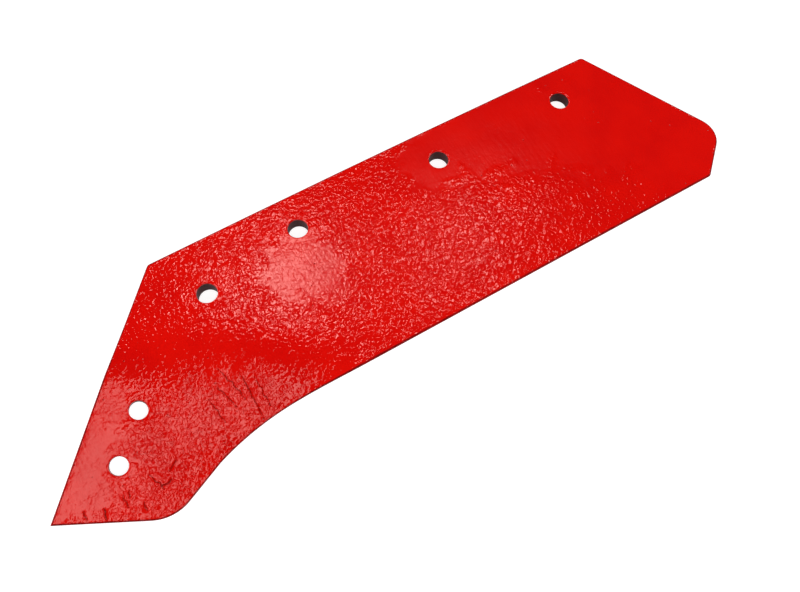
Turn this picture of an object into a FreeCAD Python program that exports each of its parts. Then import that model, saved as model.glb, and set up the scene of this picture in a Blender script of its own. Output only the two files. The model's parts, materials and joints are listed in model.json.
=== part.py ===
import FreeCAD, Part
import math
import os

import Sketcher

os.makedirs("parts", exist_ok=True)
doc = FreeCAD.newDocument("plough_share")
V = FreeCAD.Vector

# The share is drawn with the rear face of its blade in the plane z = 0, looking along +Z. The
# cutting edge runs along X, toward the heel at +X, and the mouldboard edge is on the +Y side.
# The drawing's origin is on the axis of the first bolt hole, the one nearest the landside. At
# the end the share is turned about X, so that it lies on its nose and its mouldboard edge with
# the rear face up, and the middle of that hole comes to the origin. Millimetres and degrees.
SIZES = [
    ("plate_t", 9.5, "thickness of the plate"),
    ("mouldboard_y", 35.5, "height of the mouldboard edge at its two ends"),
    ("mouldboard_rise", 1.0, "rise of the mouldboard edge at mid length"),
    ("land_corner_x", -23.6, "corner of the mouldboard edge and the landside"),
    ("heel_corner_x", 308.4, "corner of the mouldboard edge and the heel"),
    ("heel_out_x", 355.5, "outermost corner of the heel"),
    ("heel_out_y", -62.0, "height of the outermost corner of the heel"),
    ("heel_low_x", 326.0, "end of the cutting edge at the heel"),
    ("edge_y", -87.7, "height of the cutting edge"),
    ("corner_r", 3.0, "rounding of the two mouldboard corners"),
    ("heel_out_r", 17.0, "rounding of the outer heel corner"),
    ("heel_low_r", 2.5, "rounding of the lower heel corner"),
    ("land_slant", 47.4, "landside edge against the cutting edge"),
    ("land_flat", 36.0, "landside edge that stays flat, from the corner"),
    ("land_fold", 68.0, "landside edge from the corner to the fold point"),
    ("throat_x", 62.0, "end of the straight cutting edge at the throat"),
    ("bevel_w", 26.0, "width of the ground bevel, on the soil side"),
    ("bevel_over", 2.0, "reach of the bevel cut past the plate"),
    ("edge_land", 1.5, "thickness left at the cutting edge"),
    ("bolt_d", 13.0, "blade bolt holes"),
    ("bolt_row_y", 12.4, "row of the second to fourth bolt holes"),
    ("bolt2_x", 68.8, "second bolt hole"),
    ("bolt3_x", 174.2, "third bolt hole"),
    ("bolt4_x", 272.9, "fourth bolt hole"),
    ("fold_turn", 20.0, "direction of the fold line against the cutting edge"),
    ("fold_tilt", 20.0, "tilt of the nose away from the blade"),
    ("nose_top_s", -5.2, "start of the flat nose at the landside"),
    ("nose_top_t", -2.3, "start of the flat nose at the landside"),
    ("tip_s", -82.9, "tip of the nose"),
    ("tip_t", -40.8, "tip of the nose"),
    ("toe_s", -37.3, "corner of the nose end and the furrow side"),
    ("toe_t", -89.3, "corner of the nose end and the furrow side"),
    ("toe_r", 27.0, "rounding of that corner"),
    ("neck_s", 3.0, "start of the flat nose at the throat"),
    ("neck_t", -86.5, "start of the flat nose at the throat"),
    ("nose_break", 2.5, "chamfer of the nose on the soil side"),
    ("point_d", 11.0, "bolt holes of the nose"),
    ("point1_s", -6.4, "upper nose hole"),
    ("point1_t", -30.2, "upper nose hole"),
    ("point2_s", -36.2, "lower nose hole"),
    ("point2_t", -44.7, "lower nose hole"),
    ("throat_pull", 31.0, "roundness of the throat at the blade"),
    ("neck_pull", 40.0, "roundness of the throat at the nose"),
    ("land_pull", 19.0, "roundness of the landside bend at the blade"),
    ("nose_pull", 4.0, "roundness of the landside bend at the nose"),
    ("rim_round", 1.0, "rounding of the rim and the holes on the rear face"),
    ("rest_tilt", 12.8, "slope of the blade when the share lies on the ground"),
]
sheet = doc.addObject("Spreadsheet::Sheet", "Sizes")
for row, (name, value, note) in enumerate(SIZES, 1):
    sheet.set("A%d" % row, name)
    sheet.set("B%d" % row, str(value))
    sheet.set("C%d" % row, note)
    sheet.setAlias("B%d" % row, name)
doc.recompute()
S = {name: float(sheet.get(name)) for name, value, note in SIZES}


def plane(body, role):
    for item in body.Origin.OriginFeatures:
        if item.Role == role:
            return item
    raise RuntimeError("no plane " + role)


def on_plane(body, name, role):
    sketch = body.newObject("Sketcher::SketchObject", name)
    sketch.AttachmentSupport = [(plane(body, role), "")]
    sketch.MapMode = "FlatFace"
    return sketch


def bind(sketch, constraint, text):
    index = sketch.addConstraint(constraint)
    sketch.setExpression("Constraints[%d]" % index, text)


def outline(sketch, corners, places, bulge=None):
    """Closed outline through the corners; each place is the pair of expressions of a corner.

    bulge gives the number of one side, its middle point and the expression of its radius.
    """
    count = len(corners)
    for i in range(count):
        start = V(corners[i][0], corners[i][1], 0)
        end = V(corners[(i + 1) % count][0], corners[(i + 1) % count][1], 0)
        if bulge and bulge[0] == i:
            sketch.addGeometry(Part.Arc(start, V(bulge[1][0], bulge[1][1], 0), end), False)
        else:
            sketch.addGeometry(Part.LineSegment(start, end), False)
    # an arc is stored anticlockwise, so its first point is the end of the side
    ends = [(2, 1) if bulge and bulge[0] == i else (1, 2) for i in range(count)]
    for i in range(count):
        following = (i + 1) % count
        sketch.addConstraint(
            Sketcher.Constraint("Coincident", i, ends[i][1], following, ends[following][0])
        )
    for i in range(count):
        across, up = places[i]
        at = ends[i][0]
        bind(sketch, Sketcher.Constraint("DistanceX", -1, 1, i, at, corners[i][0]), across)
        bind(sketch, Sketcher.Constraint("DistanceY", -1, 1, i, at, corners[i][1]), up)
    if bulge:
        radius = sketch.Geometry[bulge[0]].Radius
        bind(sketch, Sketcher.Constraint("Radius", bulge[0], radius), bulge[2])


def holes(sketch, centres, places, diameter, size):
    for i, (centre, place) in enumerate(zip(centres, places)):
        sketch.addGeometry(Part.Circle(V(centre[0], centre[1], 0), V(0, 0, 1), diameter / 2), False)
        bind(sketch, Sketcher.Constraint("DistanceX", -1, 1, i, 3, centre[0]), place[0])
        bind(sketch, Sketcher.Constraint("DistanceY", -1, 1, i, 3, centre[1]), place[1])
        bind(sketch, Sketcher.Constraint("Diameter", i, diameter), size)


def upright_edge(shape, x, y):
    """Name of the edge that stands square to the face at x, y."""
    for number, edge in enumerate(shape.Edges, 1):
        a, b = edge.Vertexes[0].Point, edge.Vertexes[-1].Point
        if abs(a.x - b.x) < 0.01 and abs(a.y - b.y) < 0.01 and math.hypot(a.x - x, a.y - y) < 0.05:
            return "Edge%d" % number
    raise RuntimeError("no upright edge at %g, %g" % (x, y))


def rounding(body, base, name, x, y, radius):
    feature = body.newObject("PartDesign::Fillet", name)
    feature.Base = (base, [upright_edge(base.Shape, x, y)])
    feature.setExpression("Radius", "Sizes." + radius)
    doc.recompute()
    return feature


# Blade: the flat part, from the landside corner to the heel.
slant = math.radians(S["land_slant"])
flat = (S["land_corner_x"] - S["land_flat"] * math.cos(slant),
        S["mouldboard_y"] - S["land_flat"] * math.sin(slant))
blade = doc.addObject("PartDesign::Body", "Blade")
profile = on_plane(blade, "BladeProfile", "XY_Plane")
half = (S["heel_corner_x"] - S["land_corner_x"]) / 2
outline(
    profile,
    [
        flat,
        (S["land_corner_x"], S["mouldboard_y"]),
        (S["heel_corner_x"], S["mouldboard_y"]),
        (S["heel_out_x"], S["heel_out_y"]),
        (S["heel_low_x"], S["edge_y"]),
        (S["throat_x"], S["edge_y"]),
    ],
    [
        ("Sizes.land_corner_x - Sizes.land_flat * cos(Sizes.land_slant * 1 deg)",
         "Sizes.mouldboard_y - Sizes.land_flat * sin(Sizes.land_slant * 1 deg)"),
        ("Sizes.land_corner_x", "Sizes.mouldboard_y"),
        ("Sizes.heel_corner_x", "Sizes.mouldboard_y"),
        ("Sizes.heel_out_x", "Sizes.heel_out_y"),
        ("Sizes.heel_low_x", "Sizes.edge_y"),
        ("Sizes.throat_x", "Sizes.edge_y"),
    ],
    (
        1,
        (S["land_corner_x"] + half, S["mouldboard_y"] + S["mouldboard_rise"]),
        "((Sizes.heel_corner_x - Sizes.land_corner_x)^2 / 4 + Sizes.mouldboard_rise^2)"
        " / (2 * Sizes.mouldboard_rise)",
    ),
)
doc.recompute()
slab = blade.newObject("PartDesign::Pad", "BladeSlab")
slab.Profile = profile
slab.setExpression("Length", "Sizes.plate_t")
slab.Reversed = True
doc.recompute()
base = rounding(blade, slab, "LandCorner", S["land_corner_x"], S["mouldboard_y"], "corner_r")
base = rounding(blade, base, "HeelCorner", S["heel_corner_x"], S["mouldboard_y"], "corner_r")
base = rounding(blade, base, "HeelOuter", S["heel_out_x"], S["heel_out_y"], "heel_out_r")
base = rounding(blade, base, "HeelLower", S["heel_low_x"], S["edge_y"], "heel_low_r")

# Ground bevel of the cutting edge, on the soil side.
before = base.Shape.Volume
ground = on_plane(blade, "BevelProfile", "YZ_Plane")
over = S["bevel_over"]
fall = (S["plate_t"] - S["edge_land"]) / S["bevel_w"]
FALL = "((Sizes.plate_t - Sizes.edge_land) / Sizes.bevel_w)"
outline(
    ground,
    [
        (S["edge_y"] - over, over * fall - S["edge_land"]),
        (S["edge_y"] + S["bevel_w"] + over, -S["plate_t"] - over * fall),
        (S["edge_y"] - over, -S["plate_t"] - over * fall),
    ],
    [
        ("Sizes.edge_y - Sizes.bevel_over", "Sizes.bevel_over * %s - Sizes.edge_land" % FALL),
        ("Sizes.edge_y + Sizes.bevel_w + Sizes.bevel_over",
         "-Sizes.plate_t - Sizes.bevel_over * %s" % FALL),
        ("Sizes.edge_y - Sizes.bevel_over", "-Sizes.plate_t - Sizes.bevel_over * %s" % FALL),
    ],
)
doc.recompute()
bevel = blade.newObject("PartDesign::Pocket", "Bevel")
bevel.Profile = ground
bevel.Type = "ThroughAll"
bevel.Midplane = True
doc.recompute()
assert bevel.Shape.Volume < before - 1000

bolt_sketch = on_plane(blade, "BoltSketch", "XY_Plane")
holes(
    bolt_sketch,
    [(0.0, 0.0), (S["bolt2_x"], S["bolt_row_y"]), (S["bolt3_x"], S["bolt_row_y"]),
     (S["bolt4_x"], S["bolt_row_y"])],
    [("0", "0"), ("Sizes.bolt2_x", "Sizes.bolt_row_y"), ("Sizes.bolt3_x", "Sizes.bolt_row_y"),
     ("Sizes.bolt4_x", "Sizes.bolt_row_y")],
    S["bolt_d"],
    "Sizes.bolt_d",
)
doc.recompute()
before = bevel.Shape.Volume
bolts = blade.newObject("PartDesign::Pocket", "BladeBolts")
bolts.Profile = bolt_sketch
bolts.Type = "ThroughAll"
doc.recompute()
assert bolts.Shape.Volume < before - 4 * 1000

# Nose: drawn flat about the fold point, s along the fold line and t square to it, then
# swung down about the fold line.
fold = V(S["land_corner_x"] - S["land_fold"] * math.cos(slant),
         S["mouldboard_y"] - S["land_fold"] * math.sin(slant), 0)
swing = FreeCAD.Placement(
    fold,
    FreeCAD.Rotation(V(0, 0, 1), S["fold_turn"])
    * FreeCAD.Rotation(V(1, 0, 0), S["fold_tilt"]),
)
nose = doc.addObject("PartDesign::Body", "Nose")
nose_profile = on_plane(nose, "NoseProfile", "XY_Plane")
NOSE = ["nose_top", "neck", "toe", "tip"]
outline(
    nose_profile,
    [(S[n + "_s"], S[n + "_t"]) for n in NOSE],
    [("Sizes.%s_s" % n, "Sizes.%s_t" % n) for n in NOSE],
)
doc.recompute()
nose_slab = nose.newObject("PartDesign::Pad", "NoseSlab")
nose_slab.Profile = nose_profile
nose_slab.setExpression("Length", "Sizes.plate_t")
nose_slab.Reversed = True
doc.recompute()
toe = rounding(nose, nose_slab, "Toe", S["toe_s"], S["toe_t"], "toe_r")


def soil_edges(shape):
    """Soil-side edges of the furrow side, the toe and the nose end."""
    names = []
    for number, edge in enumerate(shape.Edges, 1):
        box = edge.BoundBox
        if box.ZMax > 0.01 - S["plate_t"]:
            continue
        if abs(box.XMin - S["tip_s"]) < 0.1 and abs(box.XMax - S["nose_top_s"]) < 0.1:
            continue
        if abs(box.XMin - S["nose_top_s"]) < 0.1 and abs(box.XMax - S["neck_s"]) < 0.1:
            continue
        names.append("Edge%d" % number)
    return names


broken = nose.newObject("PartDesign::Chamfer", "NoseBreak")
broken.Base = (toe, soil_edges(toe.Shape))
broken.setExpression("Size", "Sizes.nose_break")
doc.recompute()
nose.Placement = swing
doc.recompute()

# Blend: the twisted part between the blade and the nose. Five curves run from the end of the
# blade to the start of the nose: landside and throat on the rear face, the foot of the edge
# land, the inner end of the bevel, and the landside on the soil side.
down = V(0, 0, -1)
nose_down = swing.Rotation.multVec(down)


def on_nose(s, t):
    return swing.multVec(V(s, t, 0))


def curve(points4):
    bezier = Part.BezierCurve()
    bezier.setPoles(points4)
    return bezier.toShape()


land0 = V(flat[0], flat[1], 0)
edge0 = V(S["throat_x"], S["edge_y"], 0)
back0 = edge0 + (land0 - edge0) * (S["bevel_w"] / (land0.y - edge0.y))
top_s, top_t = S["nose_top_s"], S["nose_top_t"]
run = math.hypot(top_s - S["tip_s"], top_t - S["tip_t"])
land3 = on_nose(top_s, top_t)
land2 = on_nose(top_s + (top_s - S["tip_s"]) / run * S["nose_pull"],
                top_t + (top_t - S["tip_t"]) / run * S["nose_pull"])
side = math.atan2(S["neck_t"] - S["toe_t"], S["neck_s"] - S["toe_s"])
edge3 = on_nose(S["neck_s"], S["neck_t"])
edge2 = on_nose(S["neck_s"] + S["neck_pull"], S["neck_t"])
seam = math.atan2(top_t - S["neck_t"], top_s - S["neck_s"])
inset = S["nose_break"] / math.sin(seam - side)
back3 = edge3 + (land3 - edge3).normalize() * inset
pull0 = V(-S["throat_pull"], 0, 0)
pull3 = edge2 - edge3
land1 = land0 - V(math.cos(slant), math.sin(slant), 0) * S["land_pull"]
edge1 = edge0 + pull0
back1 = back0 + pull0
back2 = back3 + pull3
T = S["plate_t"]
lip0 = S["edge_land"]
lip3 = T - S["nose_break"]
rails = [
    curve([land0, land1, land2, land3]),
    curve([edge0, edge1, edge2, edge3]),
    curve([edge0 + down * lip0, edge1 + down * lip0, edge2 + nose_down * lip3,
           edge3 + nose_down * lip3]),
    curve([back0 + down * T, back1 + down * T, back2 + nose_down * T, back3 + nose_down * T]),
    curve([land0 + down * T, land1 + down * T, land2 + nose_down * T, land3 + nose_down * T]),
]
faces = []
for i in range(5):
    faces.append(Part.makeRuledSurface(rails[i], rails[(i + 1) % 5]))
for end in (0, 1):
    ring = [rail.Vertexes[end].Point for rail in rails]
    faces.append(Part.Face(Part.makePolygon(ring + ring[:1])))
shell = Part.Shell(faces)
shell.sewShape()
solid = Part.Solid(shell)
if solid.Volume < 0:
    solid.reverse()
blend = doc.addObject("Part::Feature", "Blend")
blend.Shape = solid
doc.recompute()

whole = doc.addObject("Part::MultiFuse", "Whole")
whole.Shapes = [blade, blend, nose]
whole.Refine = True
doc.recompute()

# Bolt holes of the nose, square to it.
cutters = []
for name in ("point1", "point2"):
    pin = doc.addObject("Part::Cylinder", name)
    pin.setExpression("Radius", "Sizes.point_d / 2")
    pin.setExpression("Height", "Sizes.plate_t * 2")
    pin.Placement = FreeCAD.Placement(
        on_nose(S[name + "_s"], S[name + "_t"]) + nose_down * T * 1.5, swing.Rotation
    )
    cutters.append(pin)
pins = doc.addObject("Part::MultiFuse", "PointHoles")
pins.Shapes = cutters
drilled = doc.addObject("Part::Cut", "Drilled")
drilled.Base = whole
drilled.Tool = pins
doc.recompute()
assert drilled.Shape.Volume < whole.Shape.Volume - 1.98 * math.pi * (S["point_d"] / 2) ** 2 * T


def faces_rear(face):
    u0, u1, v0, v1 = face.ParameterRange
    return face.normalAt((u0 + u1) / 2, (v0 + v1) / 2).z > 0.8


def rim_edges(shape):
    """Edges where the rear side meets a wall: the outline and the mouths of the holes."""
    rear = [face for face in shape.Faces if faces_rear(face)]
    numbers = []
    for number, edge in enumerate(shape.Edges, 1):
        touching = [face for face in rear if any(edge.isSame(other) for other in face.Edges)]
        if len(touching) == 1:
            numbers.append(number)
    return numbers


plate = doc.addObject("Part::Fillet", "share_plate")
plate.Base = drilled
plate.Edges = [(n, S["rim_round"], S["rim_round"]) for n in rim_edges(drilled.Shape)]
plate.Placement = FreeCAD.Placement(V(0, 0, 0), FreeCAD.Rotation(V(-1, 0, 0), S["rest_tilt"]))
plate.setExpression("Placement.Rotation.Angle", "Sizes.rest_tilt")
plate.setExpression("Placement.Base.y", "Sizes.plate_t / 2 * sin(Sizes.rest_tilt * 1 deg)")
plate.setExpression("Placement.Base.z", "Sizes.plate_t / 2 * cos(Sizes.rest_tilt * 1 deg)")
doc.recompute()
for item in doc.Objects:
    if "Invalid" in item.State or "Error" in item.State:
        raise RuntimeError("not valid: " + item.Name)
plate.Label = "share_plate"
shape = plate.Shape
assert shape.Volume < drilled.Shape.Volume
assert len(shape.Solids) == 1 and shape.isValid() and not shape.isNull()
shape.exportStep("parts/share_plate.step")
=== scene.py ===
import json
import math

import bpy
import numpy as np
from mathutils import Matrix, Vector, noise
from mathutils.bvhtree import BVHTree
from mathutils.geometry import delaunay_2d_cdt
from mathutils.kdtree import KDTree


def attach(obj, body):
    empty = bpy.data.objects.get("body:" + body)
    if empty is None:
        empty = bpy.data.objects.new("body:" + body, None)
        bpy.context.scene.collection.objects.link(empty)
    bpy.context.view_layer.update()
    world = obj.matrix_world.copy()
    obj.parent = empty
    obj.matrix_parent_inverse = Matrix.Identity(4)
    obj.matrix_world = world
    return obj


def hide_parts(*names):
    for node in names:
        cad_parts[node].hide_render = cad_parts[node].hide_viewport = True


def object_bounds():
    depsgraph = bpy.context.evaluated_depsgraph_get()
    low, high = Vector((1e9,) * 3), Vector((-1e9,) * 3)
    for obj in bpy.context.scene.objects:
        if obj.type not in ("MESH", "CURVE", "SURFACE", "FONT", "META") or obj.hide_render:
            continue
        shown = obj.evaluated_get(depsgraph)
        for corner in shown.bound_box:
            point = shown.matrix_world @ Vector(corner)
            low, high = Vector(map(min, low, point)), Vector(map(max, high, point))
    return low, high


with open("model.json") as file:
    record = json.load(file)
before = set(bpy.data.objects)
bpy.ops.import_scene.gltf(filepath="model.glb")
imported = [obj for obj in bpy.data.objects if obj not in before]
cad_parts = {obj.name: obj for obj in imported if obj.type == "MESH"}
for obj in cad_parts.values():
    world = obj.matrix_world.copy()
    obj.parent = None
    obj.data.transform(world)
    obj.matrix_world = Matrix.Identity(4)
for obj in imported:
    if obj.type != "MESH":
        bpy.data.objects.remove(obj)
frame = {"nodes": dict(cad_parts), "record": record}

# The share is dressed in the drawing's own axes, called blade axes here: x along the cutting
# edge to the heel, y up to the mouldboard edge, z square out of the rear face, with the origin
# at the mouth of the first bolt hole. Lengths in them are millimetres.
MM = 0.001
PLATE = "share_plate"
CAD_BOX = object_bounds()


def blade_axes(record):
    """Matrix from blade axes, in millimetres, to the row frame, in metres."""
    mounts = {mount["name"]: mount for mount in record["mounts"]}
    normal = Vector(mounts["seat"]["axis"]).normalized()
    row = Vector(mounts["bolt_4"]["pos_m"]) - Vector(mounts["bolt_2"]["pos_m"])
    along = (row - normal * row.dot(normal)).normalized()
    across = normal.cross(along)
    hole = Vector(mounts["bolt_1"]["pos_m"])
    origin = hole + normal * (Vector(mounts["seat"]["pos_m"]) - hole).dot(normal)
    turn = Matrix((along, across, normal)).transposed().to_4x4()
    return Matrix.Translation(origin) @ turn @ Matrix.Scale(MM, 4)


BLADE = blade_axes(frame["record"])


# ---------------------------------------------------------------- skin

SKIN_STEP = 1.0           # spacing of the points on the rear face
BACK_STEP = 2.6           # spacing of the points on the soil side
MAIN_FACE = 600.0         # area from which a CAD face counts as a main face, in mm2
RIM_FADE = 2.0            # width over which the relief dies out at the rim
CRACK_FADE = 0.5          # width over which a crack dies out at the rim
SMOOTH_ROUNDS = 110       # how often the heights of the rear face are evened out
WELD_STEP = 0.002         # points closer than about this are one point
RIM_GAP = 0.55            # share of the step that inner points keep from the rim
EXTRA_GAP = 0.4           # and from the extra points
RAY_START = 20.0          # how far beyond the faces a ray onto them starts
RAY_SPARE = 50.0          # how much longer than their height it is
BORE_STRAY = 0.2          # a face within this of a hole's wall is that wall
MOUTH_STRAY = 1.5         # and within this it is the rounding of the hole's mouth
RIM_SLOPE = 0.8           # a face that looks less straight up or down than this is the rim
CDT_EPSILON = 1e-7        # below this the triangulation takes two points as one
REAR_SEED, BACK_SEED = 3.0, 50.0


def cad_islands():
    """Points of the plate in blade axes, and its triangles, one array for each CAD face."""
    mesh = frame["nodes"][PLATE].data
    mesh.calc_loop_triangles()
    points = np.empty(len(mesh.vertices) * 3)
    mesh.vertices.foreach_get("co", points)
    back = np.array(BLADE.inverted())
    points = points.reshape(-1, 3) @ back[:3, :3].T + back[:3, 3]
    triangles = np.empty(len(mesh.loop_triangles) * 3, int)
    mesh.loop_triangles.foreach_get("vertices", triangles)
    triangles = triangles.reshape(-1, 3)
    label = np.arange(len(points))
    while True:
        low = label[triangles].min(axis=1)
        spread = label.copy()
        np.minimum.at(spread, triangles.ravel(), np.repeat(low, 3))
        spread = spread[spread]
        if (spread == label).all():
            break
        label = spread
    owner = label[triangles[:, 0]]
    return points, [triangles[owner == name] for name in np.unique(owner)]


def area_normal(points, triangles):
    """Area of some triangles and the mean of their normals."""
    a, b, c = (points[triangles[:, i]] for i in range(3))
    cross = np.cross(b - a, c - a) / 2
    area = np.linalg.norm(cross, axis=1).sum()
    return area, cross.sum(axis=0) / area


def weld(points, triangles):
    """The same triangles on points that are used once each."""
    used = np.unique(triangles)
    places = np.round(points[used] / WELD_STEP).astype(int)
    _, first, inverse = np.unique(places, axis=0, return_index=True, return_inverse=True)
    renumber = np.zeros(len(points), int)
    renumber[used] = inverse.ravel()
    return points[used][first], renumber[triangles]


def boundary_edges(triangles):
    """Edges that only one triangle has, in that triangle's direction."""
    edges = np.concatenate([triangles[:, [0, 1]], triangles[:, [1, 2]], triangles[:, [2, 0]]])
    found = set(map(tuple, edges.tolist()))
    return [edge for edge in found if (edge[1], edge[0]) not in found]


def hex_grid(low, high, step):
    """Points of an even triangular grid between two corners."""
    rows = np.arange(low[1], high[1], step * math.sqrt(3) / 2)
    cols = np.arange(low[0], high[0], step)
    x, y = np.meshgrid(cols, rows)
    x = x + (np.arange(len(rows)) % 2)[:, None] * step / 2
    return np.stack([x.ravel(), y.ravel()], axis=1)


def nearest(points, targets):
    """Distance from each point to the nearest target, in the plane."""
    tree = KDTree(len(targets))
    for i, target in enumerate(targets.tolist()):
        tree.insert((target[0], target[1], 0), i)
    tree.balance()
    return np.array([tree.find((x, y, 0))[2] for x, y in points[:, :2].tolist()])


def refine(points, triangles, step, side, extra=()):
    """Fine even triangles over CAD faces seen from above (side 1) or from below (side -1).

    Returns points, triangles and the distance of each point from the rim of the faces.
    """
    points, triangles = weld(points, triangles)
    tree = BVHTree.FromPolygons(points.tolist(), triangles.tolist())
    rim, chains = [], []
    start = {}

    def corner(index):
        if index not in start:
            start[index] = len(rim)
            rim.append(points[index])
        return start[index]

    for a, b in boundary_edges(triangles):
        parts = max(1, math.ceil(np.linalg.norm(points[b] - points[a]) / step))
        chain = [corner(a)]
        for i in range(1, parts):
            rim.append(points[a] + (points[b] - points[a]) * i / parts)
            chain.append(len(rim) - 1)
        chain.append(corner(b))
        chains += list(zip(chain[:-1], chain[1:]))
    rim = np.array(rim)
    low, high = rim.min(axis=0), rim.max(axis=0)
    inner = hex_grid(low[:2], high[:2], step)
    if len(extra):
        gap = nearest(inner, np.array(extra))
        inner = np.concatenate([inner[gap > step * EXTRA_GAP], np.array(extra)])
    gap = nearest(inner, rim[:, :2])
    inner, gap = inner[gap > step * RIM_GAP], gap[gap > step * RIM_GAP]
    reach = float(high[2] - low[2]) + RAY_SPARE
    from_z = float(high[2] if side > 0 else low[2]) + side * RAY_START

    def hit_at(x, y):
        return tree.ray_cast(Vector((x, y, from_z)), Vector((0, 0, -side)), reach)[0]

    heights, kept = [], []
    for i, (x, y) in enumerate(inner.tolist()):
        hit = hit_at(x, y)
        if hit is not None:
            kept.append(i)
            heights.append(hit.z)
    inner = np.column_stack([inner[kept], heights])
    cloud = np.concatenate([rim, inner])
    faces = delaunay_2d_cdt(
        [Vector((x, y)) for x, y, z in cloud.tolist()], chains, [], 0, CDT_EPSILON, True
    )
    flat, made, origins = faces[0], np.array(faces[2]), faces[3]
    z = np.array([cloud[origin[0]][2] if origin else 0.0 for origin in origins])
    away = np.concatenate([np.zeros(len(rim)), gap[kept]])
    away = np.array([away[origin[0]] if origin else 0.0 for origin in origins])
    result = np.column_stack([np.array([tuple(v) for v in flat]), z])
    centres = result[made].mean(axis=1)
    inside = [hit_at(x, y) is not None for x, y, _ in centres.tolist()]
    made = made[np.array(inside)]
    if side < 0:
        made = made[:, ::-1]
    return result, made, away


def smooth(points, triangles, free, rounds):
    """Evens out the height of the free points, so that the facets of the bend vanish."""
    a = np.concatenate([triangles[:, [0, 1]], triangles[:, [1, 2]], triangles[:, [2, 0]]])
    count = np.zeros(len(points))
    np.add.at(count, a[:, 0], 1)
    for _ in range(rounds):
        total = np.zeros(len(points))
        np.add.at(total, a[:, 0], points[a[:, 1], 2])
        mean = np.divide(total, count, out=points[:, 2].copy(), where=count > 0)
        points[free, 2] = mean[free]


def point_normals(points, triangles):
    """Normal at each point, the mean of its triangles by area."""
    cross = np.cross(
        points[triangles[:, 1]] - points[triangles[:, 0]],
        points[triangles[:, 2]] - points[triangles[:, 0]],
    )
    total = np.zeros_like(points)
    for i in range(3):
        np.add.at(total, triangles[:, i], cross)
    return total / np.linalg.norm(total, axis=1, keepdims=True)


# Places of the rear face, in blade axes: x, y, radius and strength.
CALM = (
    (58, -12, 25, 0.7),
    (66, -32, 14, 0.55),
    (-99, -52, 21, 0.8),
    (-112, -70, 18, 0.75),
    (-80, -30, 16, 0.7),
    (172, 16, 26, 0.85),
    (205, 14, 32, 0.85),
    (240, 6, 40, 0.85),
    (285, -10, 50, 0.85),
    (325, -45, 50, 0.85),
)
CREASED = (
    (-50, -72, 30, 1.0),
    (-28, -62, 26, 0.9),
    (-8, -66, 22, 0.7),
    (-80, -80, 24, 0.7),
)


PLACE_END = 1.15          # where a place ends, as a share of its radius
PLACE_FADE = 3.0          # how fast it fades towards that
EDGE_SWAY = 0.5           # how far its edge wanders, as a share of its radius
EDGE_WANDER = 9.0         # and over what length
PLACE_REACH = 1.6         # beyond this share of its radius nothing of it is left


def amount(x, y, places):
    """How much a point belongs to some places, from 0 to 1, with an uneven edge."""
    most = 0.0
    for at_x, at_y, radius, strength in places:
        off = math.hypot(x - at_x, y - at_y) / radius
        if off < PLACE_REACH:
            off += EDGE_SWAY * noise.noise(Vector((x / EDGE_WANDER, y / EDGE_WANDER, 5.0)))
            share = (PLACE_END - off) * PLACE_FADE
            most = max(most, strength * min(1.0, max(0.0, share)))
    return most


# Cracks of the bent nose, from point to point in blade axes, with their half width.
CRACKS = (
    ((-15, -46), (-9, -67), 0.5),
    ((-5, -54), (-5, -81), 0.55),
    ((-21, -51), (-16, -68), 0.4),
    ((1, -60), (2, -77), 0.4),
    ((-28, -57), (-26, -72), 0.4),
    ((-116, -80), (-117, -85), 0.6),
    ((-106, -83), (-108, -90), 0.7),
    ((-94, -82), (-95, -89), 0.6),
    ((-86, -90), (-87, -95), 0.5),
    ((-90, -81), (-92, -85), 0.5),
    ((-75, -87), (-67, -86), 0.9),
    ((-77, -78), (-73, -89), 0.5),
    ((-66, -81), (-60, -77), 0.5),
)
CRACK_DEPTH = 0.32
CRACK_SPACING = 0.35      # between the points along a crack
CRACK_SWAY = 1.6          # how far a crack can wander to each side
CRACK_WANDER = 3.1        # and over about what length
CRACK_TAPER = 4.0         # how fast it widens from its ends
CRACK_END = 0.2           # its width at the ends, as a share of the full one
SUPPORT_GAP = 0.32        # between the points of the skin beside a crack
SUPPORT_LOOK = 80         # how many of the last points that gap is kept from


def crack_lines():
    """Points along the cracks, close together, and the half width at each."""
    line, widths = [], []
    for number, (start, end, half) in enumerate(CRACKS):
        start, end = Vector(start), Vector(end)
        length = (end - start).length
        side = Vector((start.y - end.y, end.x - start.x)) / length
        count = math.ceil(length / CRACK_SPACING)
        for i in range(count + 1):
            along = i / count
            sway = noise.noise(Vector((along * length / CRACK_WANDER, number * 9.0, 2.0)))
            line.append(tuple(start.lerp(end, along) + side * sway * CRACK_SWAY))
            inward = min(along, 1 - along)
            widths.append(half * min(1.0, CRACK_TAPER * inward + CRACK_END))
    return np.array(line), np.array(widths)


def crack_support():
    """Points that the skin needs beside the cracks to show them sharp."""
    line, widths = crack_lines()
    off = np.array([(math.cos(a), math.sin(a)) for a in np.arange(6) * math.pi / 3])
    beside = (line[::2, None] + off[None] * widths[::2, None, None]).reshape(-1, 2)
    support = [line[0]]
    for point in np.concatenate([line[::2], beside]):
        if np.hypot(*(np.array(support[-SUPPORT_LOOK:]) - point).T).min() > SUPPORT_GAP:
            support.append(point)
    return np.array(support)


def crack_depth(points):
    """How deep the cracks are at each point, 0 beside them."""
    line, widths = crack_lines()
    tree = KDTree(len(line))
    for i, (x, y) in enumerate(line.tolist()):
        tree.insert((x, y, 0), i)
    tree.balance()
    found = [tree.find((x, y, 0)) for x, y in points[:, :2].tolist()]
    return np.array([max(0.0, 1 - hit[2] / widths[hit[1]]) for hit in found]) * CRACK_DEPTH


# Swells of the relief: their size along x and y, their place in the noise and their height.
BROAD = (46, 38, 0, 0.1)
MIDDLE = (15, 13, 7, 0.07)
LUMPS = (4.6, 4.2, 19, 0.05)
PEEL = (2.9, 2.6, 31, 0.04)


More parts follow.
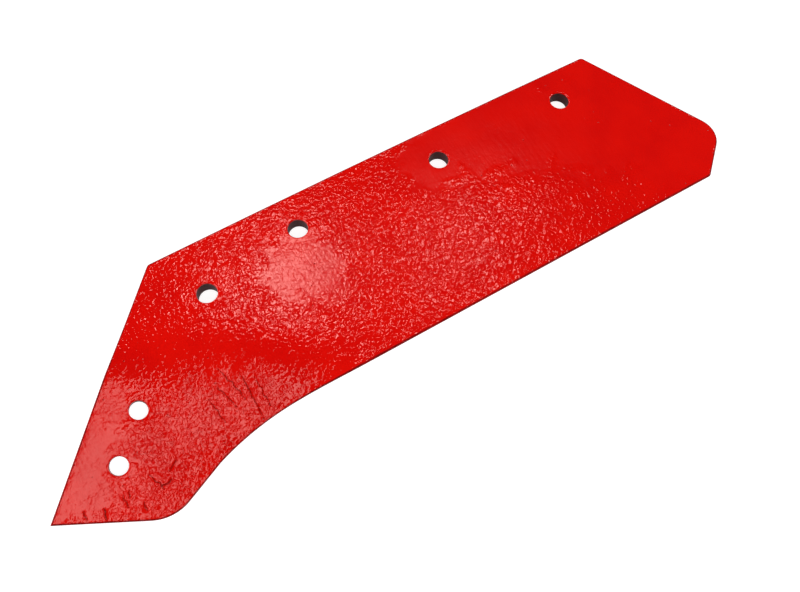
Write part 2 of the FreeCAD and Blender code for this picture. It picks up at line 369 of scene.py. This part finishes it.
def relief(x, y, seed):
    """Height of the rolled and painted surface at a point, without its marks."""

    def swell(kind):
        wide, deep, shift, high = kind
        return noise.noise(Vector((x / wide, y / deep, seed + shift))) * high

    rough = 1 - amount(x, y, CALM)
    return swell(BROAD) + swell(MIDDLE) + (swell(LUMPS) + swell(PEEL)) * rough


def dressed(points, triangles, away, seed, depth=0.0):
    """The points raised by the relief, which dies out at the rim, and sunk by a depth."""
    normals = point_normals(points, triangles)
    height = np.array([relief(x, y, seed) for x, y in points[:, :2].tolist()])
    fade = np.clip(away / RIM_FADE, 0, 1)
    height = height * fade * fade * (3 - 2 * fade) - depth
    return points + normals * height[:, None]


def build_skin():
    """Parts of the skin: points, triangles and how deep the cracks are at each point."""
    points, islands = cad_islands()
    rear, back, others = [], [], []
    for triangles in islands:
        area, normal = area_normal(points, triangles)
        if area > MAIN_FACE and normal[2] > RIM_SLOPE:
            rear.append(triangles)
        elif area > MAIN_FACE and normal[2] < -RIM_SLOPE:
            back.append(triangles)
        else:
            others.append(triangles)
    top, faces, away = refine(points, np.concatenate(rear), SKIN_STEP, 1, crack_support())
    smooth(top, faces, away > 0, SMOOTH_ROUNDS)
    depth = crack_depth(top) * np.clip(away / CRACK_FADE, 0, 1)
    parts = [(dressed(top, faces, away, REAR_SEED, depth), faces, depth)]
    for triangles in back:
        under, faces, away = refine(points, triangles, BACK_STEP, -1)
        parts.append((dressed(under, faces, away, BACK_SEED), faces, None))
    for triangles in others:
        parts.append((points, triangles, None))
    return parts


def bore_axes():
    """A point on the axis of each hole, its direction and its radius, in blade axes."""
    back = BLADE.inverted()
    axes = []
    for mount in frame["record"]["mounts"]:
        if mount["kind"] == "bore":
            way = (back.to_3x3() @ Vector(mount["axis"])).normalized()
            axes.append((back @ Vector(mount["pos_m"]), way, mount["dims"]["r_mm"]))
    return axes


def off_bore(points, triangles):
    """How far a CAD face strays, at most, from the wall of the hole that it follows best."""
    used = points[np.unique(triangles)]
    strays = []
    for at, way, radius in bore_axes():
        off = used - np.array(at)
        off = off - np.outer(off @ np.array(way), np.array(way))
        strays.append(abs(np.linalg.norm(off, axis=1) - radius).max())
    return min(strays)


def finish_of(points, triangles):
    """Number of the finish of a CAD face: 0 the gloss paint, 1 a bore, 2 the rim, both with
    painted shade.
    """
    stray = off_bore(points, triangles)
    if stray < BORE_STRAY:
        return 1
    if stray < MOUTH_STRAY:
        return 0
    return 2 if abs(area_normal(points, triangles)[1][2]) < RIM_SLOPE else 0


def to_mesh(name, parts):
    """One object from parts that each keep their own smooth shading."""
    everything, faces, slots, start = [], [], [], 0
    masks = {"calm": [], "creased": [], "cracked": []}
    for points, triangles, depth in parts:
        slots += [finish_of(points, triangles)] * len(triangles)
        used = np.unique(triangles)
        renumber = np.zeros(len(points), int)
        renumber[used] = np.arange(len(used)) + start
        everything.append(points[used])
        faces.append(renumber[triangles])
        start += len(used)
        if depth is None:
            for values in masks.values():
                values += [0.0] * len(used)
        else:
            places = points[used, :2].tolist()
            masks["calm"] += [amount(x, y, CALM) for x, y in places]
            masks["creased"] += [amount(x, y, CREASED) for x, y in places]
            masks["cracked"] += (depth[used] / CRACK_DEPTH).tolist()
    turn = np.array(BLADE)
    world = np.concatenate(everything) @ turn[:3, :3].T + turn[:3, 3]
    mesh = bpy.data.meshes.new(name)
    mesh.from_pydata(world.tolist(), [], np.concatenate(faces).tolist())
    mesh.polygons.foreach_set("use_smooth", [True] * len(mesh.polygons))
    mesh.polygons.foreach_set("material_index", slots)
    for key, values in masks.items():
        mesh.attributes.new(key, "FLOAT", "POINT").data.foreach_set("value", values)
    mesh.update()
    skin = bpy.data.objects.new(name, mesh)
    bpy.context.scene.collection.objects.link(skin)
    return skin


# ---------------------------------------------------------------- materials

PAINT_RED = (0.68, 0.0025, 0.0005, 1)
PAINT_DEEP = (0.62, 0.0015, 0.0005, 1)
# Cracks and pits: partly their own dark, partly painted shade in these hollows.
CRACK_DARK_AND_SHADE = (0.16, 0.002, 0.001, 1)
# Walls and rim: darker reds that are painted shade along the edges, mixed in random patches.
WALL_SHADE_RED = (0.34, 0.003, 0.002, 1)
WALL_SHADE_DARK = (0.2, 0.002, 0.002, 1)
# Hole walls: partly their own dark paint, partly painted shade inside the bores.
BORE_DARK_AND_SHADE = (0.055, 0.004, 0.005, 1)
GLINT_TINT = (1.0, 0.6, 0.55, 1)
FLOOR_GREY = (0.35, 0.35, 0.35, 1)
WHITE = (1, 1, 1, 1)
FLOOR_GLOW = 0.9


def node(tree, kind, **sockets):
    made = tree.nodes.new(kind)
    for name, value in sockets.items():
        made.inputs[name.replace("_", " ")].default_value = value
    return made


def link(tree, source, target):
    tree.links.new(source, target)


def math_node(tree, operation, first, second):
    made = tree.nodes.new("ShaderNodeMath")
    made.operation = operation
    for socket, value in zip(made.inputs, (first, second)):
        if isinstance(value, (int, float)):
            socket.default_value = value
        else:
            link(tree, value, socket)
    return made.outputs[0]


def noise_node(tree, coordinates, size, detail, distortion=0.0):
    """Noise with lumps of about this size in millimetres, from coordinates in millimetres."""
    made = node(
        tree, "ShaderNodeTexNoise", Scale=1 / size, Detail=detail, Distortion=distortion
    )
    link(tree, coordinates, made.inputs["Vector"])
    return made.outputs["Fac"]


def millimetres(tree):
    """Object coordinates in millimetres."""
    place = tree.nodes.new("ShaderNodeTexCoord")
    scale = node(tree, "ShaderNodeMapping", Scale=(1 / MM, 1 / MM, 1 / MM))
    link(tree, place.outputs["Object"], scale.inputs["Vector"])
    return scale.outputs["Vector"]


def mask(tree, name):
    """One of the skin's attributes, from 0 to 1."""
    made = tree.nodes.new("ShaderNodeAttribute")
    made.attribute_name = name
    return made.outputs["Fac"]


def blend_colour(tree, factor, first, second):
    made = tree.nodes.new("ShaderNodeMix")
    made.data_type = "RGBA"
    link(tree, factor, made.inputs["Factor"])
    for socket, value in ((made.inputs["A"], first), (made.inputs["B"], second)):
        if isinstance(value, tuple):
            socket.default_value = value
        else:
            link(tree, value, socket)
    return made.outputs["Result"]


def ramp(tree, value, low, high):
    """0 below low, 1 above high and straight between."""
    made = node(tree, "ShaderNodeMapRange")
    made.inputs["From Min"].default_value = low
    made.inputs["From Max"].default_value = high
    link(tree, value, made.inputs["Value"])
    return made.outputs["Result"]


def layer(tree, height, source, weight):
    """A height with another one added at some weight."""
    return math_node(tree, "ADD", height, math_node(tree, "MULTIPLY", source, weight))


def bump(tree, shader, height, distance):
    """Tips the shader's normal by a height from 0 to 1 that stands for millimetres."""
    made = node(tree, "ShaderNodeBump", Strength=1.0, Distance=distance * MM)
    link(tree, height, made.inputs["Height"])
    link(tree, made.outputs["Normal"], shader.inputs["Normal"])


def new_material(name):
    material = bpy.data.materials.new(name)
    material.use_nodes = True
    return material, material.node_tree, material.node_tree.nodes["Principled BSDF"]


def creases(tree, mm):
    """Fine net of creases, 0 in a crease and 1 beside it."""
    sway = noise_node(tree, mm, 3.0, 2.0)
    moved = tree.nodes.new("ShaderNodeVectorMath")
    moved.operation = "ADD"
    link(tree, mm, moved.inputs[0])
    link(tree, math_node(tree, "MULTIPLY", sway, 6.0), moved.inputs[1])
    cells = tree.nodes.new("ShaderNodeTexVoronoi")
    cells.feature = "DISTANCE_TO_EDGE"
    cells.inputs["Scale"].default_value = 1 / 3.4
    link(tree, moved.outputs[0], cells.inputs["Vector"])
    return ramp(tree, cells.outputs["Distance"], 0.0, 0.1)


def pinholes(tree, mm):
    """1 in small scattered pits, 0 elsewhere."""
    cells = tree.nodes.new("ShaderNodeTexVoronoi")
    cells.inputs["Scale"].default_value = 1 / 8.5
    link(tree, mm, cells.inputs["Vector"])
    return math_node(tree, "SUBTRACT", 1.0, ramp(tree, cells.outputs["Distance"], 0.03, 0.055))


def paint():
    """Gloss paint with orange peel, fine grain, rolling streaks, creases, pits and cracks; cracks
    and pits darker, partly painted shade.
    """
    material, tree, shader = new_material("gloss_red_paint")
    clean = math_node(tree, "SUBTRACT", 1.0, mask(tree, "cracked"))
    link(tree, math_node(tree, "MULTIPLY", clean, 0.5), shader.inputs["Specular IOR Level"])
    shader.inputs["Specular Tint"].default_value = GLINT_TINT
    mm = millimetres(tree)
    rough = math_node(tree, "SUBTRACT", 1.0, mask(tree, "calm"))
    stretched = node(tree, "ShaderNodeMapping", Scale=(0.6, 0.05, 0.05))
    link(tree, mm, stretched.inputs["Vector"])
    net = math_node(tree, "MULTIPLY", creases(tree, mm), mask(tree, "creased"))
    patchy = ramp(tree, noise_node(tree, mm, 7.0, 2.0), 0.35, 0.6)
    pits = pinholes(tree, mm)
    height = math_node(tree, "MULTIPLY", noise_node(tree, mm, 2.6, 0.6, 0.8), rough)
    height = layer(tree, height, noise_node(tree, mm, 0.8, 2.0), 0.03)
    height = layer(tree, height, noise_node(tree, stretched.outputs["Vector"], 1.0, 2.0), 0.15)
    height = layer(tree, height, math_node(tree, "MULTIPLY", net, patchy), 0.4)
    height = layer(tree, height, pits, -0.5)
    bump(tree, shader, height, 0.43)
    mottle = ramp(tree, noise_node(tree, mm, 26.0, 3.0), 0.35, 0.65)
    colour = blend_colour(tree, mottle, PAINT_RED, PAINT_DEEP)
    # Cracks and pits painted darker: partly their own dark, partly painted shade in the hollows.
    colour = blend_colour(tree, mask(tree, "cracked"), colour, CRACK_DARK_AND_SHADE)
    colour = blend_colour(tree, math_node(tree, "MULTIPLY", pits, 0.6), colour, CRACK_DARK_AND_SHADE)
    link(tree, colour, shader.inputs["Base Color"])
    gloss = math_node(tree, "MULTIPLY", noise_node(tree, mm, 11.0, 3.0), 0.05)
    gloss = layer(tree, gloss, mask(tree, "calm"), 0.14)
    link(tree, math_node(tree, "ADD", gloss, 0.035), shader.inputs["Roughness"])
    return material


def shaded_wall_paint():
    """Duller paint on the walls and the rounding of the rim, its darker red painted shade of the
    edges.
    """
    material, tree, shader = new_material("dull_rim_paint_and_shade")
    shader.inputs["Roughness"].default_value = 0.55
    shader.inputs["Specular IOR Level"].default_value = 0.03
    mm = millimetres(tree)
    patches = ramp(tree, noise_node(tree, mm, 5.0, 3.0), 0.4, 0.65)
    # Painted shade: walls and rim darker than the face, in random patches.
    link(tree, blend_colour(tree, patches, WALL_SHADE_RED, WALL_SHADE_DARK), shader.inputs["Base Color"])
    bump(tree, shader, noise_node(tree, mm, 1.8, 3.0), 0.25)
    return material


def bore_paint():
    """Dark paint on the walls of the holes, partly their own thin paint and partly painted shade.
    """
    material, tree, shader = new_material("bore_walls_with_painted_shade")
    # Near-black red, partly painted shade inside the bores.
    shader.inputs["Base Color"].default_value = BORE_DARK_AND_SHADE
    shader.inputs["Roughness"].default_value = 0.6
    shader.inputs["Specular IOR Level"].default_value = 0.2
    bump(tree, shader, noise_node(tree, millimetres(tree), 1.6, 3.0), 0.2)
    return material


def floor_material():
    """Matt floor that keeps the shadow and looks white to the camera and in reflections."""
    material = bpy.data.materials.new("white_floor")
    material.use_nodes = True
    tree = material.node_tree
    tree.nodes.clear()
    matt = node(tree, "ShaderNodeBsdfDiffuse", Color=FLOOR_GREY)
    glow = node(tree, "ShaderNodeEmission", Color=WHITE)
    path = tree.nodes.new("ShaderNodeLightPath").outputs
    clear = math_node(tree, "MAXIMUM", path["Is Glossy Ray"], path["Is Transmission Ray"])
    seen = math_node(tree, "MAXIMUM", path["Is Camera Ray"], clear)
    link(tree, math_node(tree, "MULTIPLY", seen, FLOOR_GLOW), glow.inputs["Strength"])
    both = tree.nodes.new("ShaderNodeAddShader")
    out = tree.nodes.new("ShaderNodeOutputMaterial")
    link(tree, matt.outputs[0], both.inputs[0])
    link(tree, glow.outputs[0], both.inputs[1])
    link(tree, both.outputs[0], out.inputs["Surface"])
    return material


# ---------------------------------------------------------------- studio

CAMERA_AT = (-15.61, -228.676, 451.389)
CAMERA_RIGHT = (0.85928, -0.51052, 0.03163)
CAMERA_UP = (0.45426, 0.79009, 0.41159)
LENS = 36.4
SENSOR = 36.0
WORLD_LEVEL = 0.06
PLATE_MIDDLE = (110, -30, 0)
FLOOR_REACH = 6.0         # metres from the origin to each side of the floor


def camera():
    lens = bpy.data.cameras.new("camera")
    lens.lens = LENS
    lens.sensor_width = SENSOR
    lens.clip_start, lens.clip_end = 0.01, 20
    view = bpy.data.objects.new("camera", lens)
    bpy.context.scene.collection.objects.link(view)
    right = (BLADE.to_3x3() @ Vector(CAMERA_RIGHT)).normalized()
    up = (BLADE.to_3x3() @ Vector(CAMERA_UP)).normalized()
    turn = Matrix((right, up, right.cross(up))).transposed().to_4x4()
    view.matrix_world = Matrix.Translation(BLADE @ Vector(CAMERA_AT)) @ turn
    bpy.context.scene.camera = view


def card(name, place, aim, size, radiance, shape="RECTANGLE", long_way=(1, 0, 0)):
    """Soft light card at a place in blade axes, in millimetres, facing another place.

    Its first size lies along long_way.
    """
    lamp = bpy.data.lights.new(name, "AREA")
    lamp.shape = shape
    lamp.size, lamp.size_y = size[0] * MM, size[1] * MM
    area = lamp.size * lamp.size_y * (math.pi / 4 if shape in ("DISK", "ELLIPSE") else 1)
    lamp.energy = radiance * area * math.pi
    light = bpy.data.objects.new(name, lamp)
    bpy.context.scene.collection.objects.link(light)
    at, to = BLADE @ Vector(place), BLADE @ Vector(aim)
    out = (at - to).normalized()
    side = BLADE.to_3x3() @ Vector(long_way)
    side = (side - out * side.dot(out)).normalized()
    turn = Matrix((side, out.cross(side), out)).transposed().to_4x4()
    light.matrix_world = Matrix.Translation(at) @ turn


def studio():
    world = bpy.data.worlds.new("studio")
    world.use_nodes = True
    world.node_tree.nodes["Background"].inputs["Color"].default_value = WHITE
    world.node_tree.nodes["Background"].inputs["Strength"].default_value = WORLD_LEVEL
    bpy.context.scene.world = world
    card(
        "key", (-358, -712, 946), (-60, -65, -20), (1500, 300), 4.5,
        long_way=(0.758, 0.409, 0.509),
    )
    card("highlight_left", (160, 458, 1000), (56, -14, 0), (250, 120), 13.0, "ELLIPSE", (1, 0, 0))
    card(
        "highlight_right", (535, 338, 1000), (152, -49, 0), (190, 110), 11.0,
        "ELLIPSE", (0.86, -0.51, 0),
    )
    card("side_left", (-1200, 300, 620), PLATE_MIDDLE, (1000, 800), 6.6)
    card("side_right", (1400, -500, 620), PLATE_MIDDLE, (1000, 800), 6.6)
    card("side_back", (-250, 1500, 420), PLATE_MIDDLE, (1200, 500), 6.6)
    floor()


def floor():
    """Level floor right under the plate."""
    mesh = bpy.data.meshes.new("floor")
    far, z = FLOOR_REACH, CAD_BOX[0].z
    mesh.from_pydata(
        [(-far, -far, z), (far, -far, z), (far, far, z), (-far, far, z)], [], [(0, 1, 2, 3)]
    )
    mesh.materials.append(floor_material())
    ground = bpy.data.objects.new("floor", mesh)
    bpy.context.scene.collection.objects.link(ground)


skin = to_mesh("share_skin", build_skin())
skin.data.materials.append(paint())
skin.data.materials.append(bore_paint())
skin.data.materials.append(shaded_wall_paint())
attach(skin, "root")
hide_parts(PLATE)
camera()
studio()
bpy.context.scene.view_settings.view_transform = "Standard"
